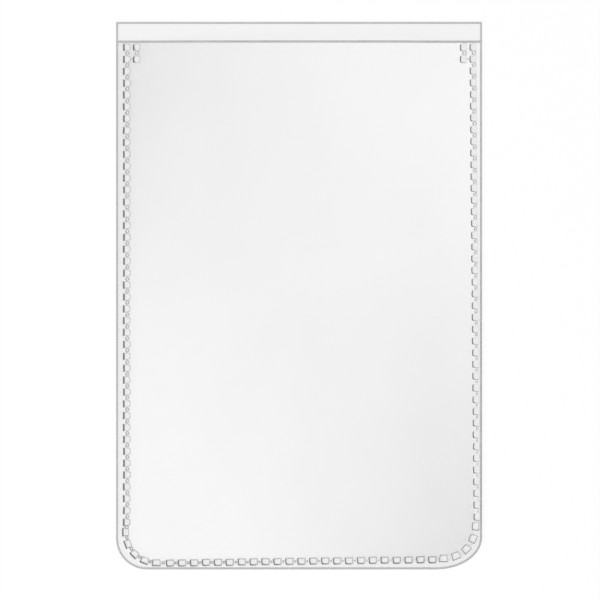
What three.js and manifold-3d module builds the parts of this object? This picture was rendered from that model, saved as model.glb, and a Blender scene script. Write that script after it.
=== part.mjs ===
// A clear vinyl badge holder: a pocket of two soft films for a badge the size of a bank card.
// It lies on its back. +X is to the right and +Y to the mouth as it is seen from the front, +Z is up
// out of the front sheet, and z = 0 is the back face of the back sheet. All sizes are in millimetres.
import * as THREE from "three";
import { mergeVertices } from "three/addons/utils/BufferGeometryUtils.js";
import Module from "manifold-3d";

const wasm = await Module();
wasm.setup();

// The back sheet sets the outline. Its top corners are square and its bottom corners round.
const backWidth = 61.5;
const backHeight = 92;
const backThickness = 0.3;
const leftCornerRadius = 5.2;
const rightCornerRadius = 6.2;

// The front sheet has the same outline but stops short of the top, which leaves a lip for the thumb.
const frontThickness = 0.3;
const lipHeight = 3.15;

// The cutting rule leaves a slope along each cut edge, down to a thin land.
const edgeSlope = 0.34;
const mouthSlope = 0.4;
const edgeLand = 0.06;

// The pocket: the front sheet lies flat along its border and rises from there over the card's space.
const crownHeight = 1.55;
const crownRun = 13;
const borderSpare = 0.15;

// The weld: a line of tooth prints from the left of the mouth round the bottom to the right, struck by
// five die pieces. A straight bar serves each side and the bottom, and a quarter bend serves each corner.
const leftBarInset = 1.79;
const rightBarInsetTop = 1.58;
const rightBarInsetBottom = 0.9;
const bottomBarInsetLeft = 1.14;
const bottomBarInsetRight = 1.71;
const leftBendRadius = 5.2;
const leftBendSideInset = 1.58;
const leftBendBottomInset = 1.09;
const rightBendRadius = 5.4;
const rightBendSideInset = 1.11;
const rightBendBottomInset = 1.84;
const bendTeeth = 5;
const sideJoint = 1.62;
const bottomJointLeft = 2.32;
const bottomJointRight = 1.85;
const firstToothDrop = 1.15;
const toothPitch = 1.98;
const sideToothLength = 1.35;
const bendToothLength = 1.45;
const bottomToothLength = 1.45;
const toothWidth = 1.15;

// At each end of the mouth more prints stand beside the line, on its inner side.
const mouthBlockRows = 2;
const mouthBlockPitch = 1.62;

// Each print is a lump of fused film with a pressed floor and a rim of squeezed-out film round it.
const pressDepth = 0.16;
const rimHeight = 0.06;
const rimWidth = 0.06;
const pressDraft = 0.25;
const fuseClearance = 0.02;

// The film squeezed out between two prints is a low round ridge that joins their rims.
const ridgeWidth = 0.72;
const ridgeOverlap = 0.08;
const ridgeTaper = 0.72;

// How finely round forms are faceted.
const cornerSteps = 8;
const sideSteps = 6;
const crownSteps = 7;
const ridgeSides = 8;

const frontBase = backThickness;
const frontFace = frontBase + frontThickness;
const backTop = backHeight / 2;
const mouthY = backTop - lipHeight;
const borderWidth =
  Math.max(leftBarInset, rightBarInsetTop) + mouthBlockPitch + toothWidth / 2 + borderSpare;

function arcPoints(centreX, centreY, radius, from, to) {
  return Array.from({ length: cornerSteps + 1 }, (_, i) => {
    const angle = from + ((to - from) * i) / cornerSteps;
    return new THREE.Vector2(centreX + radius * Math.cos(angle), centreY + radius * Math.sin(angle));
  });
}

// The two bottom corners of the outline moved in by inset, anticlockwise from the left side.
// Inside the border the corners open out again, so that the crown is rounder than the outline.
function bottomCorners(inset) {
  const spread = Math.max(0, inset - borderWidth);
  const kept = Math.min(inset, borderWidth);
  const leftRadius = Math.max(leftCornerRadius - kept, edgeSlope) + spread / 2;
  const rightRadius = Math.max(rightCornerRadius - kept, edgeSlope) + spread / 2;
  const side = backWidth / 2 - inset;
  const bottom = -backHeight / 2 + inset;
  return {
    left: arcPoints(-side + leftRadius, bottom + leftRadius, leftRadius, Math.PI, 1.5 * Math.PI),
    right: arcPoints(side - rightRadius, bottom + rightRadius, rightRadius, 1.5 * Math.PI, 2 * Math.PI),
    side,
  };
}

function geometryOf(points, triangles) {
  const geometry = new THREE.BufferGeometry();
  const coordinates = points.flatMap((p) => [p.x, p.y, p.z]);
  geometry.setAttribute("position", new THREE.Float32BufferAttribute(coordinates, 3));
  geometry.setIndex(triangles);
  return geometry;
}

// A solid between rings of equally many points, given from the lowest to the highest.
function loft(rings) {
  const count = rings[0].length;
  const triangles = [];
  for (let k = 0; k + 1 < rings.length; k++) {
    for (let j = 0; j < count; j++) {
      const next = (j + 1) % count;
      const low = k * count;
      const high = low + count;
      triangles.push(low + j, low + next, high + next, low + j, high + next, high + j);
    }
  }
  const last = (rings.length - 1) * count;
  for (const [a, b, c] of THREE.ShapeUtils.triangulateShape(rings[0], [])) triangles.push(a, c, b);
  for (const [a, b, c] of THREE.ShapeUtils.triangulateShape(rings.at(-1), [])) {
    triangles.push(last + a, last + b, last + c);
  }
  return geometryOf(rings.flat(), triangles);
}

function backSheet() {
  const ring = (inset, z) => {
    const { left, right, side } = bottomCorners(inset);
    const top = backTop - inset;
    const outline = [new THREE.Vector2(-side, top), ...left, ...right, new THREE.Vector2(side, top)];
    return outline.map((p) => new THREE.Vector3(p.x, p.y, z));
  };
  return loft([ring(edgeSlope, 0), ring(0, backThickness - edgeLand), ring(0, backThickness)]);
}

// One line of the front sheet, the same distance in from both sides and the bottom, open at the mouth.
function pocketLine(inset) {
  const { left, right, side } = bottomCorners(inset);
  const slopeY = mouthY - mouthSlope;
  const down = [new THREE.Vector2(-side, mouthY)];
  const up = [];
  for (let i = 0; i < sideSteps; i++) {
    const t = i / sideSteps;
    down.push(new THREE.Vector2(-side, THREE.MathUtils.lerp(slopeY, left[0].y, t)));
    up.unshift(new THREE.Vector2(side, THREE.MathUtils.lerp(slopeY, right.at(-1).y, t)));
  }
  return [...down, ...left, ...right, ...up, new THREE.Vector2(side, mouthY)];
}

// How far the film stands off the back sheet at this distance in from the edge.
function crownAt(inset) {
  const t = THREE.MathUtils.clamp((inset - borderWidth) / crownRun, 0, 1);
  return (crownHeight * (1 - Math.cos(Math.PI * t))) / 2;
}

function filmThicknessAt(inset, y) {
  const share = Math.min(inset / edgeSlope, (mouthY - y) / mouthSlope, 1);
  return THREE.MathUtils.lerp(edgeLand, frontThickness, share);
}

// The front film with its crown, before the weld goes through it.
function frontFilm() {
  const insets = [0, edgeSlope];
  for (let k = 0; k <= crownSteps; k++) insets.push(borderWidth + (crownRun * k) / crownSteps);
  const lines = insets.map(pocketLine);
  const count = lines[0].length;
  const inner = lines.length - 1;
  const under = lines.length * count;
  const lower = lines.map((line, k) =>
    line.map((p) => new THREE.Vector3(p.x, p.y, frontBase + crownAt(insets[k]))),
  );
  const upper = lower.map((line, k) =>
    line.map((p) => new THREE.Vector3(p.x, p.y, p.z + filmThicknessAt(insets[k], p.y))),
  );
  const triangles = [];
  const quad = (a, b, c, d) => triangles.push(a, b, c, a, c, d);
  const sheet = (a, b, c, d) => {
    quad(a, b, c, d);
    quad(under + d, under + c, under + b, under + a);
  };
  const edge = (a, b) => quad(under + a, under + b, b, a);
  const at = (k, j) => k * count + j;
  for (let k = 0; k < inner; k++) {
    for (let j = 0; j + 1 < count; j++) sheet(at(k, j), at(k, j + 1), at(k + 1, j + 1), at(k + 1, j));
    edge(at(k + 1, 0), at(k, 0));
    edge(at(k, count - 1), at(k + 1, count - 1));
  }
  for (let j = 0; j + 1 < count; j++) edge(at(0, j), at(0, j + 1));
  edge(at(inner, count - 1), at(inner, 0));
  sheet(at(inner, 0), at(inner, 1), at(inner, count - 2), at(inner, count - 1));
  const flat = lines[inner].slice(1, -1);
  for (const [a, b, c] of THREE.ShapeUtils.triangulateShape(flat, [])) {
    const [i, j, k] = [a, b, c].map((n) => at(inner, n + 1));
    triangles.push(i, j, k, under + k, under + j, under + i);
  }
  return geometryOf([...upper.flat(), ...lower.flat()], triangles);
}

// The spots of a straight bar's teeth, evenly spaced from one end to the other.
function straightBar(from, to, length) {
  const steps = Math.max(1, Math.round(from.distanceTo(to) / toothPitch));
  const angle = Math.atan2(to.y - from.y, to.x - from.x);
  return Array.from({ length: steps + 1 }, (_, i) => {
    const point = from.clone().lerp(to, i / steps);
    return { x: point.x, y: point.y, angle, length };
  });
}

// The spots of a quarter bend's teeth, anticlockwise round its centre.
function quarterBend(centre, radius, fromAngle) {
  return Array.from({ length: bendTeeth }, (_, i) => {
    const round = fromAngle + (Math.PI / 2) * (i / (bendTeeth - 1));
    const x = centre.x + radius * Math.cos(round);
    const y = centre.y + radius * Math.sin(round);
    return { x, y, angle: round + Math.PI / 2, length: bendToothLength };
  });
}

// The ridge between two teeth that reach this far towards each other in all.
function ridgeBetween(a, b, reach) {
  const length = Math.hypot(b.x - a.x, b.y - a.y) - reach + 2 * ridgeOverlap;
  return { x: (a.x + b.x) / 2, y: (a.y + b.y) / 2, angle: Math.atan2(b.y - a.y, b.x - a.x), length };
}

const ridgesAlong = (line) =>
  line.slice(1).map((spot, i) => ridgeBetween(line[i], spot, (line[i].length + spot.length) / 2));

// Where each tooth print lies, and the ridges between neighbours.
function weldLayout() {
  const side = backWidth / 2;
  const bottom = -backHeight / 2;
  const firstY = mouthY - firstToothDrop;
  const leftBend = new THREE.Vector2(
    -side + leftBendSideInset + leftBendRadius,
    bottom + leftBendBottomInset + leftBendRadius,
  );
  const rightBend = new THREE.Vector2(
    side - rightBendSideInset - rightBendRadius,
    bottom + rightBendBottomInset + rightBendRadius,
  );
  const line = [
    ...straightBar(
      new THREE.Vector2(-side + leftBarInset, firstY),
      new THREE.Vector2(-side + leftBarInset, leftBend.y + sideJoint),
      sideToothLength,
    ),
    ...quarterBend(leftBend, leftBendRadius, Math.PI),
    ...straightBar(
      new THREE.Vector2(leftBend.x + bottomJointLeft, bottom + bottomBarInsetLeft),
      new THREE.Vector2(rightBend.x - bottomJointRight, bottom + bottomBarInsetRight),
      bottomToothLength,
    ),
    ...quarterBend(rightBend, rightBendRadius, 1.5 * Math.PI),
    ...straightBar(
      new THREE.Vector2(side - rightBarInsetBottom, rightBend.y + sideJoint),
      new THREE.Vector2(side - rightBarInsetTop, firstY),
      sideToothLength,
    ),
  ];
  const teeth = [...line];
  const ridges = ridgesAlong(line);
  for (const outer of [line.slice(0, mouthBlockRows), line.slice(-mouthBlockRows).reverse()]) {
    const inner = outer.map((spot) => ({
      ...spot,
      x: spot.x - mouthBlockPitch * Math.sin(spot.angle),
      y: spot.y + mouthBlockPitch * Math.cos(spot.angle),
    }));
    teeth.push(...inner);
    ridges.push(...ridgesAlong(inner));
    inner.slice(1).forEach((spot, i) => ridges.push(ridgeBetween(outer[i + 1], spot, toothWidth)));
  }
  return { teeth, ridges };
}

// A block on a spot of the seam between two heights, with its sides drawn in at the bottom by draft.
function block(spot, length, width, low, high, draft = 0) {
  const geometry = new THREE.BoxGeometry(length, width, high - low);
  const position = geometry.getAttribute("position");
  for (let i = 0; i < position.count; i++) {
    if (position.getZ(i) > 0) continue;
    position.setX(i, Math.sign(position.getX(i)) * (length / 2 - draft));
    position.setY(i, Math.sign(position.getY(i)) * (width / 2 - draft));
  }
  return geometry.rotateZ(spot.angle).translate(spot.x, spot.y, (low + high) / 2);
}

// A low round lump of squeezed-out film, drawn in at the top.
function ridgeLump(spot, low, high) {
  return new THREE.CylinderGeometry(ridgeTaper / 2, 0.5, 1, ridgeSides)
    .rotateX(Math.PI / 2)
    .scale(spot.length, ridgeWidth, high - low)
    .rotateZ(spot.angle)
    .translate(spot.x, spot.y, (low + high) / 2);
}

function solidOf(geometry) {
  geometry.deleteAttribute("normal");
  geometry.deleteAttribute("uv");
  const merged = mergeVertices(geometry);
  return new wasm.Manifold(
    new wasm.Mesh({
      numProp: 3,
      vertProperties: new Float32Array(merged.getAttribute("position").array),
      triVerts: new Uint32Array(merged.index.array),
    }),
  );
}

function geometryFrom(solid) {
  const mesh = solid.getMesh();
  const geometry = new THREE.BufferGeometry();
  geometry.setAttribute("position", new THREE.BufferAttribute(mesh.vertProperties, 3));
  geometry.setIndex(new THREE.BufferAttribute(mesh.triVerts, 1));
  return geometry;
}

const joined = (geometries) => wasm.Manifold.union(geometries.map(solidOf));

// The weld: the fused lumps stand on the back sheet, fill the front film and are joined by the ridges.
function weldSeam({ teeth, ridges }) {
  const rimTop = frontFace + rimHeight;
  const floor = frontFace - pressDepth;
  const around = 2 * rimWidth;
  const lumps = teeth.map((spot) => block(spot, spot.length, toothWidth, frontBase, rimTop));
  const bridges = ridges.map((spot) => ridgeLump(spot, frontFace, rimTop));
  const pressed = teeth.map((spot) =>
    block(spot, spot.length - around, toothWidth - around, floor, rimTop, pressDraft),
  );
  return joined([...lumps, ...bridges]).subtract(joined(pressed));
}

function frontSheet({ teeth }) {
  const around = 2 * fuseClearance;
  const below = frontBase - frontThickness;
  const above = frontFace + frontThickness;
  const holes = teeth.map((spot) => block(spot, spot.length + around, toothWidth + around, below, above));
  return solidOf(frontFilm()).subtract(joined(holes));
}

const clearFilm = new THREE.MeshStandardMaterial({
  color: "#f2f2f2",
  roughness: 0.14,
  metalness: 0,
  transparent: true,
  opacity: 0.45,
});
const fusedFilm = new THREE.MeshStandardMaterial({
  color: "#d9d9d9",
  roughness: 0.25,
  metalness: 0,
  transparent: true,
  opacity: 0.7,
});

function part(name, geometry, material) {
  const mesh = new THREE.Mesh(geometry, material);
  mesh.name = name;
  return mesh;
}

const layout = weldLayout();
const badgeHolder = new THREE.Group();
badgeHolder.add(part("back_sheet", backSheet(), clearFilm));
badgeHolder.add(part("front_sheet", geometryFrom(frontSheet(layout)), clearFilm));
badgeHolder.add(part("weld_seam", geometryFrom(weldSeam(layout)), fusedFilm));

export default badgeHolder;
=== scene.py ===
import random
from math import atan2, cos, pi, radians, sin

import bmesh
import bpy
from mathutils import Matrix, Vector


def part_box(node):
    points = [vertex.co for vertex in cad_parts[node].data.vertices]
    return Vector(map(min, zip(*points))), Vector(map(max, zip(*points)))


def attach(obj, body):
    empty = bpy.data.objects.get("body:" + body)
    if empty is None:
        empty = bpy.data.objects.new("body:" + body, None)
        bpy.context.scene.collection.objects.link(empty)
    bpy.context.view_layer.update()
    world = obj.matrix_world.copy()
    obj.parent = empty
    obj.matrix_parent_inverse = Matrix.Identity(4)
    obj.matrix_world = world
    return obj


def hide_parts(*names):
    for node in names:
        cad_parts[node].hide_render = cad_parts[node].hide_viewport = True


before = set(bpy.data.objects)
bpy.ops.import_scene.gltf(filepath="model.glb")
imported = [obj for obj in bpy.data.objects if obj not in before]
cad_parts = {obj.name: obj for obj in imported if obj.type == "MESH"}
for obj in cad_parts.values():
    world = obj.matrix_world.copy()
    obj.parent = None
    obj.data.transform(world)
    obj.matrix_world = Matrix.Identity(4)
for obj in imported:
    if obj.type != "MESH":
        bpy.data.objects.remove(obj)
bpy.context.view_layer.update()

# The badge holder lies on its back, +X to the right, +Y to the mouth, +Z out of the front film.
# Sizes here are in millimetres. buildMesh turns them into metres.
mm = 0.001
closePoints = 0.0002  # points nearer to each other than this are one
sharpFrom = 25  # degrees between two faces from which the edge between them shows


def frameBox(node):
    low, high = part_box(node)
    return low / mm, high / mm


backLow, backHigh = frameBox("back_sheet")
frontHigh = frameBox("front_sheet")[1]
weldHigh = frameBox("weld_seam")[1]

sheet = {
    "halfWidth": backHigh.x,
    "bottom": backLow.y,
    "top": backHigh.y,
    "mouth": frontHigh.y,
    "backFace": backHigh.z,  # where the two films meet
    "thickness": backHigh.z - backLow.z,
    "leftCorner": 5.2,
    "rightCorner": 5.4,
    "rightCornerWider": 2.3,  # how much further it reaches along the bottom than up the side
    "cornerSteps": 14,
    "edgeSlope": 0.36,  # the cutting rule's slope along the outline, seen from above
    "mouthSlope": 0.4,
    "edgeLand": 0.06,  # the upright rest of a cut edge
    "filmLift": 0.01,  # keeps the front film's underside clear of the back film's face
}

# A film's materials: its faces, its cut edge, greyed with painted shade, and the strip outside the weld.
filmSlot, edgeSlot, marginSlot = 0, 1, 2


def blendBetween(a, b, share):
    return a + (b - a) * share


def buildMesh(name, points, faces, slotOf=None):
    # One closed mesh object at the origin, with its faces turned outwards.
    mesh = bpy.data.meshes.new(name)
    mesh.from_pydata([Vector(p) * mm for p in points], [], faces)
    if slotOf:
        mesh.polygons.foreach_set("material_index", slotOf)
    piece = bpy.data.objects.new(name, mesh)
    bpy.context.scene.collection.objects.link(piece)
    turnOutwards(piece)
    return piece


def turnOutwards(piece):
    shape = bmesh.new()
    shape.from_mesh(piece.data)
    bmesh.ops.recalc_face_normals(shape, faces=shape.faces)
    shape.to_mesh(piece.data)
    shape.free()


def smoothShading(piece):
    piece.data.polygons.foreach_set("use_smooth", [True] * len(piece.data.polygons))
    shape = bmesh.new()
    shape.from_mesh(piece.data)
    for edge in shape.edges:
        edge.smooth = edge.calc_face_angle(0) < radians(sharpFrom)
    shape.to_mesh(piece.data)
    shape.free()


def applyBoolean(piece, other, operation):
    step = piece.modifiers.new(operation.lower(), "BOOLEAN")
    step.operation = operation
    step.solver = "EXACT"
    step.object = other
    finished = bpy.data.meshes.new_from_object(piece.evaluated_get(bpy.context.evaluated_depsgraph_get()))
    old = piece.data
    piece.modifiers.clear()
    piece.data = finished
    finished.name = piece.name
    bpy.data.meshes.remove(old)
    bpy.data.objects.remove(other)
    joinClosePoints(piece)


def joinClosePoints(piece):
    # Joins the points that a boolean left all but on top of each other.
    shape = bmesh.new()
    shape.from_mesh(piece.data)
    bmesh.ops.remove_doubles(shape, verts=shape.verts, dist=closePoints * mm)
    shape.to_mesh(piece.data)
    shape.free()


def cornerArc(centreX, centreY, radius, fromAngle, toAngle, steps, wider=0):
    # Wider is how much more the arc reaches along x than along y.
    spots = []
    for i in range(steps + 1):
        angle = blendBetween(fromAngle, toAngle, i / steps)
        spots.append((centreX + (radius + wider) * cos(angle), centreY + radius * sin(angle)))
    return spots


def bottomCorners(inset, keptInset, spread):
    # The two bottom corners of a line that lies inset from the outline. They are tighter than the
    # outline's by keptInset and opened out by spread.
    side = sheet["halfWidth"] - inset
    bottom = sheet["bottom"] + inset
    steps = sheet["cornerSteps"]
    leftRadius = max(sheet["leftCorner"] - keptInset, sheet["edgeSlope"]) + spread
    rightRadius = max(sheet["rightCorner"] - keptInset, sheet["edgeSlope"]) + spread
    left = cornerArc(-side + leftRadius, bottom + leftRadius, leftRadius, pi, 1.5 * pi, steps)
    wider = sheet["rightCornerWider"]
    centreX, centreY = side - rightRadius - wider, bottom + rightRadius
    right = cornerArc(centreX, centreY, rightRadius, 1.5 * pi, 2 * pi, steps, wider)
    return left, right, side


# Back film: flat, full height, square at the top and round at the bottom.
backFilmSizes = {
    "slopeSteps": 3,  # bands of faces on the sloped cut edge
}


def makeBackFilm():
    low, high = backLow.z, backHigh.z
    slope, land = sheet["edgeSlope"], sheet["edgeLand"]

    def ring(inset, z):
        left, right, side = bottomCorners(inset, inset, 0)
        top = sheet["top"] - inset
        return [(x, y, z) for x, y in [(-side, top), *left, *right, (side, top)]]

    rings = []
    for k in range(backFilmSizes["slopeSteps"] + 1):
        t = k / backFilmSizes["slopeSteps"]
        rings.append(ring(slope * (1 - t), blendBetween(low, high - land, t)))
    rings.append(ring(0, high))
    rings.append(ring(slope, high))
    count = len(rings[0])
    points = [p for each in rings for p in each]
    faces, slotOf = [], []
    for k in range(len(rings) - 1):
        for j in range(count):
            after = (j + 1) % count
            faces.append((k * count + j, k * count + after, (k + 1) * count + after, (k + 1) * count + j))
            slotOf.append(edgeSlot)
    faces += [tuple(range(count)), tuple(range(len(points) - count, len(points)))]
    slotOf += [filmSlot, filmSlot]
    return buildMesh("backFilm", points, faces, slotOf)


# Front film: flat along its border, standing off the back film over the card's space.
frontFilmSizes = {
    "margin": 1.3,  # the strip outside the weld
    "border": 4.2,  # where the film starts to stand off
    "cornerOpening": 0.5,  # how fast the corners open out inside the border
    "crownRun": 13,
    "crownSteps": 18,
    "sideSteps": 34,
    "bottomSteps": 24,
    "ripple": 0.05,  # slight unevenness of the free film, below the crown's height
    "rippleLength": 31,
    "waves": ((1, 0.6, 0), (-0.7, 0.8, 1)),  # each one's share along x, along y, and its start
}


def pocketLine(inset):
    # One line of the front film, the same distance in from both sides and the bottom, open at the mouth.
    border = frontFilmSizes["border"]
    spread = max(0, inset - border) * frontFilmSizes["cornerOpening"]
    left, right, side = bottomCorners(inset, min(inset, border), spread)
    mouth = sheet["mouth"]
    slopeFoot = mouth - sheet["mouthSlope"]
    down, up = [(-side, mouth)], []
    for i in range(frontFilmSizes["sideSteps"]):
        t = i / frontFilmSizes["sideSteps"]
        down.append((-side, blendBetween(slopeFoot, left[0][1], t)))
        up.insert(0, (side, blendBetween(slopeFoot, right[-1][1], t)))
    along = []
    for i in range(1, frontFilmSizes["bottomSteps"]):
        t = i / frontFilmSizes["bottomSteps"]
        along.append((blendBetween(left[-1][0], right[0][0], t), left[-1][1]))
    return [*down, *left], along, [*right, *up, (side, mouth)]


def crownAt(x, y, inset):
    # How high the film stands off at a spot. The ripple only lowers it, so the crown keeps its height.
    sizes = frontFilmSizes
    rise = frontHigh.z - sheet["backFace"] - sheet["thickness"]
    t = min(max((inset - sizes["border"]) / sizes["crownRun"], 0), 1)
    share = (1 - cos(pi * t)) / 2
    turn = 2 * pi / sizes["rippleLength"]
    waves = [sin(turn * (alongX * x + alongY * y) + start) for alongX, alongY, start in sizes["waves"]]
    ripple = sum(waves) / len(waves) - 1
    return share * (rise + sizes["ripple"] * ripple)


def frontThicknessAt(inset, y):
    share = min(inset / sheet["edgeSlope"], (sheet["mouth"] - y) / sheet["mouthSlope"], 1)
    return blendBetween(sheet["edgeLand"], sheet["thickness"] - sheet["filmLift"], max(share, 0))


def makeFrontFilm(holes):
    sizes = frontFilmSizes
    insets = [0, sheet["edgeSlope"], sizes["margin"], sizes["border"]]
    for k in range(1, sizes["crownSteps"] + 1):
        insets.append(sizes["border"] + sizes["crownRun"] * k / sizes["crownSteps"])
    flat = []  # x, y, inset

    def keep(x, y, inset):
        flat.append((x, y, inset))
        return len(flat) - 1

    lines = []
    for inset in insets:
        left, along, right = pocketLine(inset)
        lines.append([keep(x, y, inset) for x, y in [*left, *along, *right]])
    sideCount = len(pocketLine(0)[0])
    columns = sizes["bottomSteps"]
    quads, quadSlots = [], []
    for inset, outer, inner in zip(insets, lines, lines[1:]):
        outside = marginSlot if inset < sizes["margin"] else filmSlot
        for j in range(len(outer) - 1):
            quads.append((outer[j], outer[j + 1], inner[j + 1], inner[j]))
            atMouth = inset > 0 and j in (0, len(outer) - 2)
            quadSlots.append(edgeSlot if atMouth else outside)

    # The middle, between the innermost line's two sides, down to its bottom run.
    inner = lines[-1]
    leftSide = inner[:sideCount]
    bottomRun = inner[sideCount - 1:sideCount + columns]
    rightSide = inner[sideCount + columns - 1:][::-1]
    deepest = insets[-1]
    rows = [[]]
    for c in range(columns + 1):
        u = c / columns
        if c in (0, columns):
            rows[0].append(leftSide[0] if c == 0 else rightSide[0])
        else:
            x = blendBetween(flat[leftSide[0]][0], flat[rightSide[0]][0], u)
            rows[0].append(keep(x, sheet["mouth"], deepest))
    for j in range(1, sideCount - 1):
        v = (j - 1) / (sideCount - 2)
        row = [leftSide[j]]
        for c in range(1, columns):
            u = c / columns
            x = blendBetween(flat[leftSide[j]][0], flat[rightSide[j]][0], u)
            x = blendBetween(x, flat[bottomRun[c]][0], v)
            y = blendBetween(flat[leftSide[j]][1], flat[rightSide[j]][1], u)
            row.append(keep(x, y, deepest))
        rows.append([*row, rightSide[j]])
    rows.append(bottomRun)
    for j, (upper, lower) in enumerate(zip(rows, rows[1:])):
        for c in range(columns):
            quads.append((upper[c], lower[c], lower[c + 1], upper[c + 1]))
            quadSlots.append(edgeSlot if j == 0 else filmSlot)

    # The same faces above and below, and a wall along every edge that only one of them uses.
    base = sheet["backFace"] + sheet["filmLift"]
    count = len(flat)
    under = [(x, y, base + crownAt(x, y, inset)) for x, y, inset in flat]
    over = [(x, y, z + frontThicknessAt(inset, y)) for (x, y, z), (_, _, inset) in zip(under, flat)]
    edgeUse = {}
    for quad in quads:
        for a, b in zip(quad, quad[1:] + quad[:1]):
            edgeUse[frozenset((a, b))] = edgeUse.get(frozenset((a, b)), []) + [(a, b)]
    faces = [*quads, *[tuple(count + i for i in reversed(quad)) for quad in quads]]
    slotOf = quadSlots * 2
    for uses in edgeUse.values():
        if len(uses) == 1:
            a, b = uses[0]
            faces.append((b, a, count + a, count + b))
            onMouth = flat[a][1] == sheet["mouth"] and flat[b][1] == sheet["mouth"]
            slotOf.append(edgeSlot if onMouth else marginSlot)
    film = buildMesh("frontFilm", [*over, *under], faces, slotOf)
    for cutter in holes:
        applyBoolean(film, cutter, "DIFFERENCE")
    return film


# The seam: five runs of tooth prints, three straight bars and two quarter bends.
seamSizes = {
    "firstDrop": 1.15,  # from the mouth to the middle of the first print
    "pitch": 1.98,
    "leftInset": 1.79,
    "rightInsetTop": 1.58,
    "rightInsetBottom": 0.9,
    "bottomInsetLeft": 1.14,
    "bottomInsetRight": 1.71,
    "leftBend": {"radius": 5.2, "side": 1.58, "bottom": 1.09},
    "rightBend": {"radius": 5.4, "side": 1.11, "bottom": 1.84},
    "bendPrints": 5,
    "sideJoint": 1.62,  # between a side bar's last print and its bend
    "bottomJointLeft": 2.32,
    "bottomJointRight": 1.85,
    "blockRows": 2,  # rows with a second print at each end of the mouth
    "blockPitch": 1.62,
    "wander": 0.025,  # how far a print strays from its place
    "tilt": 1.6,  # degrees that it turns out of line at most
    "seed": 11,
}

# Each run's own print: length and width, how far it lies inwards, the share by which its inner side is
# shorter, its corners' rounding, and how wide its pressed walls and its rim's slope are seen from above.
runSizes = {
    "left": {
        "length": 1.3, "width": 1.31, "shift": -0.01, "taper": 0.1,
        "outerCorner": 0.12, "innerCorner": 0.34, "endWalls": 0.16, "outerWall": 0.3, "innerWall": 0.14,
        "rimSlope": 0.035,
    },
    "leftBend": {
        "length": 1.45, "width": 1.22, "shift": 0.0, "taper": 0.08,
        "outerCorner": 0.1, "innerCorner": 0.2, "endWalls": 0.15, "outerWall": 0.24, "innerWall": 0.13,
        "rimSlope": 0.03,
    },
    "bottom": {
        "length": 1.45, "width": 1.25, "shift": -0.07, "taper": -0.06,
        "outerCorner": 0.26, "innerCorner": 0.2, "endWalls": 0.18, "outerWall": 0.21, "innerWall": 0.15,
        "rimSlope": 0.03,
    },
    "rightBend": {
        "length": 1.43, "width": 1.28, "shift": 0.03, "taper": 0.1,
        "outerCorner": 0.06, "innerCorner": 0.06, "endWalls": 0.12, "outerWall": 0.13, "innerWall": 0.13,
        "rimSlope": 0.025,
    },
    "right": {
        "length": 1.36, "width": 1.18, "shift": 0.0, "taper": 0.1,
        "outerCorner": 0.16, "innerCorner": 0.27, "endWalls": 0.12, "outerWall": 0.1, "innerWall": 0.19,
        "rimSlope": 0.014,
    },
    "leftBlock": {
        "length": 1.34, "width": 1.28, "shift": 0.0, "taper": -0.04,
        "outerCorner": 0.28, "innerCorner": 0.4, "endWalls": 0.16, "outerWall": 0.27, "innerWall": 0.14,
        "rimSlope": 0.035,
    },
}

# Its beads: their width from the run's first to its last, nought for none, and how far they lie inwards.
beadSizes = {
    "left": {"first": 0.78, "last": 0.74, "shift": 0.08},
    "leftBend": {"first": 0.62, "last": 0.62, "shift": 0.04},
    "bottom": {"first": 0.56, "last": 0.14, "shift": -0.04},
    "rightBend": {"first": 0.0, "last": 0.0, "shift": 0.0},
    "right": {"first": 0.34, "last": 0.86, "shift": -0.16},
    "leftBlock": {"first": 0.84, "last": 0.84, "shift": 0.1},
    "across": {"first": 0.3, "last": 0.3, "shift": 0.0},  # between a block's two columns
}


def straightBar(start, end, kind):
    steps = max(1, round((end - start).length / seamSizes["pitch"]))
    way = end - start
    angle = atan2(way.y, way.x)
    return [(*(start + way * (i / steps)), angle, kind) for i in range(steps + 1)]


def quarterBend(centre, radius, fromAngle, kind):
    spots = []
    for i in range(seamSizes["bendPrints"]):
        turned = fromAngle + pi / 2 * i / (seamSizes["bendPrints"] - 1)
        x, y = centre.x + radius * cos(turned), centre.y + radius * sin(turned)
        spots.append((x, y, turned + pi / 2, kind))
    return spots


def inward(spot, reach):
    x, y, angle, kind = spot
    return x - reach * sin(angle), y + reach * cos(angle), angle, kind


def beadBetween(a, b, kind, along=0):
    # The bead's spot between two prints, and its width. Along is how far down the run it lies, 0 to 1.
    sizes = beadSizes[kind]
    middle = ((a[0] + b[0]) / 2, (a[1] + b[1]) / 2, atan2(b[1] - a[1], b[0] - a[0]), kind)
    return inward(middle, sizes["shift"]), blendBetween(sizes["first"], sizes["last"], along)


def beadsAlong(runs):
    beads = []
    for k, run in enumerate(runs):
        after = runs[k + 1][:1] if k + 1 < len(runs) else []
        for i, (a, b) in enumerate(zip(run, [*run[1:], *after])):
            beads.append(beadBetween(a, b, a[3], i / len(run)))
    return beads


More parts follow.
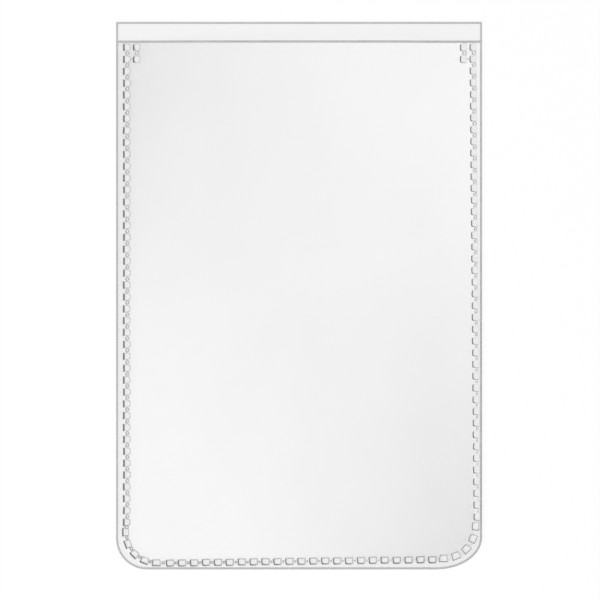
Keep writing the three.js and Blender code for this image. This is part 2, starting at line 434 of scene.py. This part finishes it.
def weldLayout():
    # The spot (x, y, angle, run) of every tooth print, and the (spot, width) of every bead.
    sizes = seamSizes
    side, bottom = sheet["halfWidth"], sheet["bottom"]
    first = sheet["mouth"] - sizes["firstDrop"]
    left, right = sizes["leftBend"], sizes["rightBend"]
    leftCentre = Vector((left["side"] + left["radius"] - side, bottom + left["bottom"] + left["radius"]))
    rightCentre = Vector((side - right["side"] - right["radius"], bottom + right["bottom"] + right["radius"]))
    leftX = sizes["leftInset"] - side
    bottomStart = Vector((leftCentre.x + sizes["bottomJointLeft"], bottom + sizes["bottomInsetLeft"]))
    bottomEnd = Vector((rightCentre.x - sizes["bottomJointRight"], bottom + sizes["bottomInsetRight"]))
    rightStart = Vector((side - sizes["rightInsetBottom"], rightCentre.y + sizes["sideJoint"]))
    rightEnd = Vector((side - sizes["rightInsetTop"], first))
    runs = [
        straightBar(Vector((leftX, first)), Vector((leftX, leftCentre.y + sizes["sideJoint"])), "left"),
        quarterBend(leftCentre, left["radius"], pi, "leftBend"),
        straightBar(bottomStart, bottomEnd, "bottom"),
        quarterBend(rightCentre, right["radius"], 1.5 * pi, "rightBend"),
        straightBar(rightStart, rightEnd, "right"),
    ]
    prints = [spot for run in runs for spot in run]
    beads = beadsAlong(runs)
    rows = sizes["blockRows"]
    for outer, along, kind in ((runs[0][:rows], 0, "leftBlock"), (runs[-1][-rows:], 1, "right")):
        inner = [(*inward(spot, sizes["blockPitch"])[:3], kind) for spot in outer]
        prints += inner
        beads += [beadBetween(a, b, kind, along) for a, b in zip(inner, inner[1:])]
        lowest = min(zip(outer, inner), key=lambda pair: pair[0][1])
        beads.append(beadBetween(*lowest, "across"))
    chance = random.Random(sizes["seed"])
    strayed = []
    for x, y, angle, kind in prints:
        x += chance.uniform(-1, 1) * sizes["wander"]
        y += chance.uniform(-1, 1) * sizes["wander"]
        strayed.append((x, y, angle + radians(chance.uniform(-1, 1) * sizes["tilt"]), kind))
    return strayed, [bead for bead in beads if bead[1] > 0]


# Weld: a lump of fused film for each print, pressed in with a rim round it, and beads between them.
weldSizes = {
    "cornerSteps": 4,
    "cornerLoss": 3,  # an outline's inset, divided by this, comes off its corners' rounding
    "cornerKept": 0.05,  # the least rounding left on a pressed floor's corners
    "pressDepth": 0.16,  # below the front film's face
    "rimCrest": 0.02,  # the rim's level top
    "footRise": 0.004,  # where the lumps come out of the film
    "wallSteps": 3,
    "clearance": 0.015,  # between the lumps and their holes
    "holeReach": 0.5,  # how far a hole's cutter sticks out of the film, in thicknesses
    "beadSteps": 16,
    "beadDimple": 0.03,  # how deep a bead's middle lies below the film's face
    # from a bead's rim to its middle: share of its width, share of its height
    "beadRings": ((1, 0), (0.87, 0.75), (0.77, 1), (0.71, 1), (0.56, 0.5), (0.4, 0)),
}
beadSlot = 1  # the beads' place among the weld's materials


def printOutline(run, ends, outer, inner):
    # A print's outline as (u, v) spots, drawn in by so much at its ends, its outer and its inner side.
    halfLength = run["length"] / 2 - ends
    halfWidth = (run["width"] - outer - inner) / 2
    shift = run["shift"] + (outer - inner) / 2
    lost, least = ends / weldSizes["cornerLoss"], weldSizes["cornerKept"]
    spots = []
    for quarter, (sx, sy) in enumerate(((1, 1), (-1, 1), (-1, -1), (1, -1))):
        radius = max(run["innerCorner" if sy > 0 else "outerCorner"] - lost, least)
        centreX, centreY = sx * (halfLength - radius), sy * (halfWidth - radius)
        fromAngle = quarter * pi / 2
        spots += cornerArc(centreX, centreY, radius, fromAngle, fromAngle + pi / 2, weldSizes["cornerSteps"])
    return [(u * (1 - run["taper"] * v / halfWidth), v + shift) for u, v in spots]


def placed(spots, z, spot):
    # An outline's (u, v) spots, turned and moved to a print's or a bead's own spot.
    x, y, angle, _ = spot
    c, s = cos(angle), sin(angle)
    return [(x + u * c - v * s, y + u * s + v * c, z) for u, v in spots]


def lathe(rings, points, faces):
    # Joins rings of equally many points, from the lowest to the last, into one closed shell.
    count = len(rings[0])
    first = len(points)
    for ring in rings:
        points += ring
    for k in range(len(rings) - 1):
        low = first + k * count
        for j in range(count):
            after = (j + 1) % count
            faces.append((low + j, low + after, low + count + after, low + count + j))
    last = first + (len(rings) - 1) * count
    faces.append(tuple(reversed(range(first, first + count))))
    faces.append(tuple(range(last, last + count)))


def printRings(run):
    # Rings of a lump from its foot over the rim to its pressed floor: (u, v) spots and a height.
    sizes = weldSizes
    face = sheet["backFace"] + sheet["thickness"]
    top = weldHigh.z
    floor = face - sizes["pressDepth"]
    crest = run["rimSlope"] + sizes["rimCrest"]
    foot = printOutline(run, 0, 0, 0)
    rings = [
        (foot, sheet["backFace"] + sheet["filmLift"]),
        (foot, face + sizes["footRise"]),
        (printOutline(run, *[run["rimSlope"]] * 3), top),
    ]
    for k in range(sizes["wallSteps"] + 1):
        down = k / sizes["wallSteps"]
        walls = [crest + run[name] * down for name in ("endWalls", "outerWall", "innerWall")]
        rings.append((printOutline(run, *walls), blendBetween(top, floor, down)))
    return rings


def makeLumps(prints):
    points, faces = [], []
    for spot in prints:
        rings = [placed(outline, height, spot) for outline, height in printRings(runSizes[spot[3]])]
        lathe(rings, points, faces)
    return buildMesh("weldSeam", points, faces)


def beadOutline(radius):
    return cornerArc(0, 0, radius, 0, 2 * pi * (1 - 1 / weldSizes["beadSteps"]), weldSizes["beadSteps"] - 1)


def makeBeads(beads):
    # Each bead is a ring of squeezed-out film round a small pressed middle.
    sizes = weldSizes
    face = sheet["backFace"] + sheet["thickness"]
    points, faces = [], []
    for spot, width in beads:
        rings = [placed(beadOutline(width / 2), sheet["backFace"] + sheet["filmLift"], spot)]
        for k, (away, rise) in enumerate(sizes["beadRings"]):
            inner = k + 1 == len(sizes["beadRings"])
            height = face - sizes["beadDimple"] if inner else face + sizes["footRise"]
            height = blendBetween(height, weldHigh.z, rise)
            rings.append(placed(beadOutline(away * width / 2), height, spot))
        lathe(rings, points, faces)
    return buildMesh("beads", points, faces, [beadSlot] * len(faces))


def makeHoleCutters(outlines):
    points, faces = [], []
    reach = weldSizes["holeReach"]
    low = sheet["backFace"] - sheet["thickness"] * reach
    high = sheet["backFace"] + sheet["thickness"] * (1 + reach)
    for spot, outline in outlines:
        lathe([placed(outline, low, spot), placed(outline, high, spot)], points, faces)
    return buildMesh("cutters", points, faces)


def makeHoles(prints, beads):
    # What the prints and the beads take out of the front film, the two apart because they may touch.
    spare = weldSizes["clearance"]
    printHoles = [(spot, printOutline(runSizes[spot[3]], -spare, -spare, -spare)) for spot in prints]
    beadHoles = [(spot, beadOutline(width / 2 + spare)) for spot, width in beads]
    return makeHoleCutters(printHoles), makeHoleCutters(beadHoles)


def makeWeldSeam(prints, beads, materials):
    # Both parts carry both materials, so that the union keeps each part's own.
    seam, rings = makeLumps(prints), makeBeads(beads)
    for piece in (seam, rings):
        for material in materials:
            piece.data.materials.append(material)
    applyBoolean(seam, rings, "UNION")
    return seam


# Node helpers.
white = (1, 1, 1, 1)


def newMaterial(name):
    material = bpy.data.materials.new(name)
    material.use_nodes = True
    tree = material.node_tree
    tree.nodes.clear()
    return material, tree


def feed(tree, socket, value):
    # A socket takes either another node's output or a plain value.
    if isinstance(value, bpy.types.NodeSocket):
        tree.links.new(value, socket)
    else:
        socket.default_value = value


def addNode(tree, kind, **inputs):
    node = tree.nodes.new(kind)
    for key, value in inputs.items():
        feed(tree, node.inputs[key.replace("_", " ")], value)
    return node


def addMath(tree, operation, first, second=0.0, clamped=False):
    node = tree.nodes.new("ShaderNodeMath")
    node.operation = operation
    node.use_clamp = clamped
    for socket, value in zip(node.inputs, (first, second)):
        feed(tree, socket, value)
    return node.outputs[0]


def addRange(tree, value, fromLow, fromHigh, toLow, toHigh, smooth=False):
    node = addNode(
        tree, "ShaderNodeMapRange",
        Value=value, From_Min=fromLow, From_Max=fromHigh, To_Min=toLow, To_Max=toHigh,
    )
    node.interpolation_type = "SMOOTHSTEP" if smooth else "LINEAR"
    return node.outputs["Result"]


def addColourMix(tree, factor, first, second):
    node = tree.nodes.new("ShaderNodeMix")
    node.data_type = "RGBA"
    tree.links.new(factor, node.inputs["Factor"])
    # A Mix node has A, B and Result once for each kind of data. These are the colours'.
    for socket, colour in ((node.inputs[6], first), (node.inputs[7], second)):
        socket.default_value = (*colour, 1)
    return node.outputs[2]


def mixShaders(tree, share, first, second):
    node = addNode(tree, "ShaderNodeMixShader", Fac=share)
    tree.links.new(first.outputs[0], node.inputs[1])
    tree.links.new(second.outputs[0], node.inputs[2])
    return node


def showSurface(tree, shader):
    output = tree.nodes.new("ShaderNodeOutputMaterial")
    tree.links.new(shader.outputs[0], output.inputs["Surface"])


def spotParts(tree):
    spot = tree.nodes.new("ShaderNodeTexCoord").outputs["Object"]
    return addNode(tree, "ShaderNodeSeparateXYZ", Vector=spot).outputs


def scaled(lengths):
    return [length * mm for length in lengths]


# The film's grain: how fine its two noises are, and the span of the clouds' noise that is used.
grainSizes = {
    "cloudDetail": 3.0,
    "rippleDetail": 2.0,
    "cloudSpan": (0.3, 0.7),
}


def filmGrainGroup():
    # The calendered film's slight unevenness: soft clouds, fine ripples and a gloss that wanders.
    group = bpy.data.node_groups.new("filmGrain", "ShaderNodeTree")
    face = group.interface
    for name in ("Cloud Scale", "Ripple Scale", "Gloss Low", "Gloss High"):
        face.new_socket(name, in_out="INPUT", socket_type="NodeSocketFloat")
    for name in ("Cloud", "Ripple", "Roughness"):
        face.new_socket(name, in_out="OUTPUT", socket_type="NodeSocketFloat")
    given = group.nodes.new("NodeGroupInput")
    made = group.nodes.new("NodeGroupOutput")
    spot = group.nodes.new("ShaderNodeTexCoord").outputs["Object"]
    clouds = addNode(
        group, "ShaderNodeTexNoise",
        Vector=spot, Scale=given.outputs["Cloud Scale"], Detail=grainSizes["cloudDetail"],
    )
    ripples = addNode(
        group, "ShaderNodeTexNoise",
        Vector=spot, Scale=given.outputs["Ripple Scale"], Detail=grainSizes["rippleDetail"],
    )
    glossEnds = given.outputs["Gloss Low"], given.outputs["Gloss High"]
    gloss = addRange(group, clouds.outputs["Fac"], *grainSizes["cloudSpan"], *glossEnds)
    group.links.new(clouds.outputs["Fac"], made.inputs["Cloud"])
    group.links.new(ripples.outputs["Fac"], made.inputs["Ripple"])
    group.links.new(gloss, made.inputs["Roughness"])
    return group


filmGrain = filmGrainGroup()


def addGrain(tree, look):
    node = tree.nodes.new("ShaderNodeGroup")
    node.node_tree = filmGrain
    for name, key in (
        ("Cloud Scale", "cloudScale"),
        ("Ripple Scale", "rippleScale"),
        ("Gloss Low", "glossLow"),
        ("Gloss High", "glossHigh"),
    ):
        node.inputs[name].default_value = look[key]
    return node


def finishFilm(tree, look, grain, colour, alpha):
    # The film's haze under its clear gloss, which grows towards grazing angles on the outer faces.
    roughness = grain.outputs["Roughness"]
    bump = addNode(
        tree, "ShaderNodeBump",
        Strength=look["rippleStrength"], Distance=look["rippleHeight"] * mm, Height=grain.outputs["Ripple"],
    ).outputs["Normal"]
    haze = addNode(
        tree, "ShaderNodeBsdfPrincipled",
        Base_Color=colour, Roughness=roughness, IOR=look["ior"], Alpha=alpha, Normal=bump,
    )
    gloss = addNode(tree, "ShaderNodeBsdfAnisotropic", Color=white, Roughness=roughness, Normal=bump)
    fresnel = addNode(tree, "ShaderNodeFresnel", IOR=look["ior"])
    backfacing = tree.nodes.new("ShaderNodeNewGeometry").outputs["Backfacing"]
    outer = addMath(tree, "SUBTRACT", 1.0, backfacing)
    share = addMath(tree, "MULTIPLY", fresnel.outputs["Fac"], outer)
    showSurface(tree, mixShaders(tree, share, haze, gloss))


# Studio: a pale floor, a soft key lamp from the lower left and an even white surround.
studio = {
    "floorSize": 4000.0,
    "floorDrop": 0.05,  # below the back film
    "floorTone": 0.06,  # the share of the floor's white that comes from the lamps, which keeps the shadow
    "floorGlow": 0.94,
    "floorAlbedo": 0.7,  # what the floor bounces back at the object
    "surround": 0.4,  # the light that the surround gives, which itself shows as white
    "keyPower": 0.6,  # light that the key lamp puts on a level face
    "keyAway": 1200.0,
    "keySize": 330.0,
    "keyTurn": 203.0,  # degrees round from +X
    "keyHeight": 33.0,  # degrees above the floor
    "lens": 500.0,
    "sensor": 36.0,
    "pictureWidth": 100.8,  # what the picture spans at the holder
    "pictureCentre": (0.156, -0.73),
    "clipNear": 0.1,  # shares of the camera's distance
    "clipFar": 10.0,
}


# Clear vinyl of the two films. Haze is the share of light that each face scatters.
clearLook = {
    "ior": 1.53,
    "cloudScale": 55.0,
    "rippleScale": 700.0,
    "glossLow": 0.1,
    "glossHigh": 0.17,
    "rippleStrength": 0.25,
    "rippleHeight": 0.02,
    "tintLow": (0.38, 0.38, 0.385),
    "tintHigh": (0.4, 0.4, 0.405),
    "cloudHaze": 0.004,  # how far the clouds swing it
    "lipHaze": 0.081,  # of the back film above the mouth
    "pocketHaze": 0.02,  # of the back film behind the front one
    "lipBlend": 0.3,  # how far below the mouth the one starts to turn into the other
}

# The front film's haze: an even middle, and over it a painted sheen that twists from corner to corner,
# so that the film is clearest at the top right and the bottom left. It is middle + twist * Twist +
# bow * Twist squared + lean * Across, with Twist and Across from the twist group below.
pocketHaze = {"middle": 0.065, "twist": -0.07, "bow": 0.038, "lean": 0.0}
marginHazeAndSheen = {"middle": 0.084, "twist": -0.03, "bow": 0.0, "lean": -0.018}
sheenTwistReach = {"width": 27.0, "height": 44.0, "highest": 0.76}  # half sizes, and where it stops growing


def sheenTwistGroup():
    # Across runs from left to right. Twist is low at the top left and bottom right, high at the others.
    # It places the front film's painted sheen.
    group = bpy.data.node_groups.new("sheenTwist", "ShaderNodeTree")
    for name in ("Across", "Twist"):
        group.interface.new_socket(name, in_out="OUTPUT", socket_type="NodeSocketFloat")
    made = group.nodes.new("NodeGroupOutput")
    parts = spotParts(group)
    across = addMath(group, "DIVIDE", parts["X"], sheenTwistReach["width"] * mm)
    along = addMath(group, "DIVIDE", parts["Y"], sheenTwistReach["height"] * mm)
    along = addMath(group, "MINIMUM", along, sheenTwistReach["highest"])
    group.links.new(across, made.inputs["Across"])
    group.links.new(addMath(group, "MULTIPLY", across, along), made.inputs["Twist"])
    return group


sheenTwist = sheenTwistGroup()


def addSheenTwist(tree):
    node = tree.nodes.new("ShaderNodeGroup")
    node.node_tree = sheenTwist
    return node.outputs


def withClouds(tree, look, grain, haze):
    swing = look["cloudHaze"]
    clouds = addRange(tree, grain.outputs["Cloud"], *grainSizes["cloudSpan"], -swing, swing)
    return addMath(tree, "ADD", haze, clouds, clamped=True)


def backFilmMaterial():
    look = clearLook
    material, tree = newMaterial("clearVinylBack")
    grain = addGrain(tree, look)
    y = spotParts(tree)["Y"]
    blend = scaled((sheet["mouth"] - look["lipBlend"], sheet["mouth"]))
    haze = addRange(tree, y, *blend, look["pocketHaze"], look["lipHaze"], smooth=True)
    colour = addColourMix(tree, grain.outputs["Cloud"], look["tintLow"], look["tintHigh"])
    finishFilm(tree, look, grain, colour, withClouds(tree, look, grain, haze))
    return material


def frontFilmMaterial(name, haze):
    # Only the haze's middle is the film's own; its twist, bow and lean are a painted sheen.
    look = clearLook
    material, tree = newMaterial(name)
    grain = addGrain(tree, look)
    place = addSheenTwist(tree)
    twist = place["Twist"]
    squared = addMath(tree, "MULTIPLY", twist, twist)
    bow = addMath(tree, "MULTIPLY", squared, haze["bow"])
    lean = addMath(tree, "MULTIPLY", place["Across"], haze["lean"])
    amount = addMath(tree, "ADD", addMath(tree, "MULTIPLY", twist, haze["twist"]), haze["middle"])
    amount = addMath(tree, "ADD", amount, addMath(tree, "ADD", bow, lean))
    colour = addColourMix(tree, grain.outputs["Cloud"], look["tintLow"], look["tintHigh"])
    finishFilm(tree, look, grain, colour, withClouds(tree, look, grain, amount))
    return material


# Cut edges, much greyer than the film: a dark tint and a dense haze that are painted shade for the
# dark line along a clear film's edge.
edgeLook = {
    "ior": 1.53,
    "cloudScale": 300.0,
    "rippleScale": 2500.0,
    "glossLow": 0.25,
    "glossHigh": 0.4,
    "rippleStrength": 0.3,
    "rippleHeight": 0.02,
    "tintLow": (0.17, 0.17, 0.17),
    "tintHigh": (0.23, 0.23, 0.23),
    "cloudHaze": 0.03,  # how far the clouds swing it
    "outlineShadeHaze": 0.37,
    "mouthShadeHaze": 0.35,
}


def cutEdgeMaterial(name, haze):
    look = edgeLook
    material, tree = newMaterial(name)
    grain = addGrain(tree, look)
    # The dark tint is painted shade along the cut edge.
    colour = addColourMix(tree, grain.outputs["Cloud"], look["tintLow"], look["tintHigh"])
    swing = look["cloudHaze"]
    amount = addRange(tree, grain.outputs["Cloud"], *grainSizes["cloudSpan"], haze - swing, haze + swing)
    finishFilm(tree, look, grain, colour, amount)
    return material


# Fused vinyl of the weld: faint on its pressed floors, dense on every slope. The slopes' dark tint and
# dense haze are painted shade, densest where a slope faces away from the key lamp.
weldLook = {
    "ior": 1.53,
    "cloudScale": 500.0,
    "rippleScale": 4000.0,
    "glossLow": 0.22,
    "glossHigh": 0.42,
    "rippleStrength": 0.35,
    "rippleHeight": 0.015,
    "flatTint": (0.6, 0.6, 0.6),
    "flatHaze": 0.125,
    # Painted shade on the slopes: their dark tint, and their haze away from the lamp and towards it.
    "slopeShadeTint": (0.26, 0.26, 0.265),
    "shadedSlopeHaze": 0.96,  # of a slope that faces away from the key lamp
    "litSideHaze": (0.34, 0.14),  # of a slope that faces it, on the left and the right bar
    "litBottomHaze": (0.64, 0.84),  # along the bottom and round the right bend
    "sideFrom": (-5.0, 5.0),  # x between the left bar and the right one
    "cornerFrom": (12.0, 20.0),  # x between the bottom bar and the right bend
    "bottomFrom": (-36.5, -39.5),  # y between the side bars and the bottom
    "awayFrom": -0.8,  # how far a slope faces the key lamp, from -1 to 1, when it counts as facing away
    "litFrom": (-0.35, 0.1),  # and when it counts as lit, on the left bar and on the others
    "flatFrom": 0.99,  # upright share of the surface normal where a slope starts to count
    "steepFrom": 0.94,
    "levelFrom": 1.001,  # just over 1, which keeps the level share of a flat face above nought
}

# The beads' slopes that face the key lamp keep more painted shade than the prints' do.
beadLook = {
    **weldLook,
    "flatHaze": 0.12,
    "litSideHaze": (0.48, 0.25),
    "litBottomHaze": (0.8, 0.8),
    "litFrom": (0.0, 0.1),
}


def weldMaterial(name, look):
    # Facing is a slope's level direction against the key lamp's, 1 where it faces the lamp. It sets how much
    # painted shade each slope gets.
    material, tree = newMaterial(name)
    grain = addGrain(tree, look)
    place = spotParts(tree)
    normal = tree.nodes.new("ShaderNodeTexCoord").outputs["Normal"]
    way = addNode(tree, "ShaderNodeSeparateXYZ", Vector=normal).outputs
    turn = radians(studio["keyTurn"])
    eastward = addMath(tree, "MULTIPLY", way["X"], cos(turn))
    northward = addMath(tree, "MULTIPLY", way["Y"], sin(turn))
    upright = addMath(tree, "MULTIPLY", way["Z"], way["Z"])
    level = addMath(tree, "SQRT", addMath(tree, "SUBTRACT", look["levelFrom"], upright))
    facing = addMath(tree, "DIVIDE", addMath(tree, "ADD", eastward, northward), level)
    steepness = addMath(tree, "ABSOLUTE", way["Z"])
    slope = addRange(tree, steepness, look["flatFrom"], look["steepFrom"], 0.0, 1.0, smooth=True)
    # The slopes' dark tint is painted shade.
    colour = addColourMix(tree, slope, look["flatTint"], look["slopeShadeTint"])
    # How much painted shade a slope that faces the lamp keeps changes along the seam.
    atBottom = addRange(tree, place["Y"], *scaled(look["bottomFrom"]), 0.0, 1.0, smooth=True)
    atRight = addRange(tree, place["X"], *scaled(look["sideFrom"]), 0.0, 1.0)
    litSideHaze = addRange(tree, atRight, 0.0, 1.0, *look["litSideHaze"])
    litLowHaze = addRange(tree, place["X"], *scaled(look["cornerFrom"]), *look["litBottomHaze"])
    litHaze = addRange(tree, atBottom, 0.0, 1.0, litSideHaze, litLowHaze)
    litFrom = addRange(tree, addMath(tree, "MAXIMUM", atBottom, atRight), 0.0, 1.0, *look["litFrom"])
    # Painted shade: the most haze where a slope faces away from the key lamp.
    slopeShadeHaze = addRange(tree, facing, look["awayFrom"], litFrom, look["shadedSlopeHaze"], litHaze)
    haze = addRange(tree, slope, 0.0, 1.0, look["flatHaze"], slopeShadeHaze)
    finishFilm(tree, look, grain, colour, haze)
    return material


def seenDirectly(tree):
    # 1 for rays from the camera, also by way of the film's gloss or through it.
    path = tree.nodes.new("ShaderNodeLightPath").outputs
    seen = addMath(tree, "MAXIMUM", path["Is Camera Ray"], path["Is Glossy Ray"])
    return addMath(tree, "MAXIMUM", seen, path["Is Transmission Ray"])


def makeFloor():
    half, drop = studio["floorSize"] / 2, backLow.z - studio["floorDrop"]
    corners = [(-half, -half, drop), (half, -half, drop), (half, half, drop), (-half, half, drop)]
    floor = buildMesh("floor", corners, [(0, 1, 2, 3)])
    material, tree = newMaterial("paleFloor")
    tone, albedo = studio["floorTone"], studio["floorAlbedo"]
    shadowed = addNode(tree, "ShaderNodeBsdfDiffuse", Color=(tone, tone, tone, 1))
    glowing = addNode(tree, "ShaderNodeEmission", Color=white, Strength=studio["floorGlow"])
    shown = tree.nodes.new("ShaderNodeAddShader")
    tree.links.new(shadowed.outputs[0], shown.inputs[0])
    tree.links.new(glowing.outputs[0], shown.inputs[1])
    bounce = addNode(tree, "ShaderNodeBsdfDiffuse", Color=(albedo, albedo, albedo, 1))
    showSurface(tree, mixShaders(tree, seenDirectly(tree), bounce, shown))
    floor.data.materials.append(material)


def makeSurround():
    world = bpy.data.worlds.new("surround")
    bpy.context.scene.world = world
    world.use_nodes = True
    tree = world.node_tree
    tree.nodes.clear()
    strength = addRange(tree, seenDirectly(tree), 0.0, 1.0, studio["surround"], 1.0)
    light = addNode(tree, "ShaderNodeBackground", Color=white, Strength=strength)
    output = tree.nodes.new("ShaderNodeOutputWorld")
    tree.links.new(light.outputs["Background"], output.inputs["Surface"])


def makeKeyLamp():
    turn, height, away = radians(studio["keyTurn"]), radians(studio["keyHeight"]), studio["keyAway"] * mm
    towards = Vector((cos(turn) * cos(height), sin(turn) * cos(height), sin(height)))
    lamp = bpy.data.lights.new("keyLamp", "AREA")
    lamp.shape = "DISK"
    lamp.size = studio["keySize"] * mm
    lamp.energy = studio["keyPower"] * pi ** 2 * away ** 2 / sin(height)  # watts that bring keyPower
    holder = bpy.data.objects.new("keyLamp", lamp)
    holder.location = towards * away
    holder.rotation_euler = (-towards).to_track_quat("-Z", "Y").to_euler()
    holder.visible_glossy = False  # the gloss shows the white surround and no lamp
    bpy.context.scene.collection.objects.link(holder)


def makeCamera():
    x, y = studio["pictureCentre"]
    camera = bpy.data.cameras.new("camera")
    camera.lens = studio["lens"]
    camera.sensor_width = studio["sensor"]
    distance = studio["pictureWidth"] * studio["lens"] / studio["sensor"]
    camera.clip_start = distance * studio["clipNear"] * mm
    camera.clip_end = distance * studio["clipFar"] * mm
    holder = bpy.data.objects.new("camera", camera)
    holder.location = Vector((x, y, backHigh.z + distance)) * mm
    bpy.context.scene.collection.objects.link(holder)
    bpy.context.scene.camera = holder


makeCamera()
makeFloor()
makeSurround()
makeKeyLamp()
print("studio ready")

prints, beads = weldLayout()
print("seam laid out:", len(prints), "prints and", len(beads), "beads")

outlineMaterial = cutEdgeMaterial("cutOutline", edgeLook["outlineShadeHaze"])
mouthMaterial = cutEdgeMaterial("cutMouth", edgeLook["mouthShadeHaze"])

backFilm = makeBackFilm()
smoothShading(backFilm)
backFilm.data.materials.append(backFilmMaterial())
backFilm.data.materials.append(outlineMaterial)
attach(backFilm, "root")
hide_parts("back_sheet")
print("back film made")

frontFilm = makeFrontFilm(makeHoles(prints, beads))
smoothShading(frontFilm)
frontFilm.data.materials.append(frontFilmMaterial("clearVinylFront", pocketHaze))
frontFilm.data.materials.append(mouthMaterial)
frontFilm.data.materials.append(frontFilmMaterial("clearVinylMargin", marginHazeAndSheen))
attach(frontFilm, "root")
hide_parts("front_sheet")
print("front film made")

weldMaterials = [weldMaterial("fusedVinyl", weldLook), weldMaterial("fusedBeads", beadLook)]
weldSeam = makeWeldSeam(prints, beads, weldMaterials)
smoothShading(weldSeam)
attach(weldSeam, "root")
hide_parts("weld_seam")
print("weld made")

bpy.context.scene.view_settings.view_transform = "Standard"
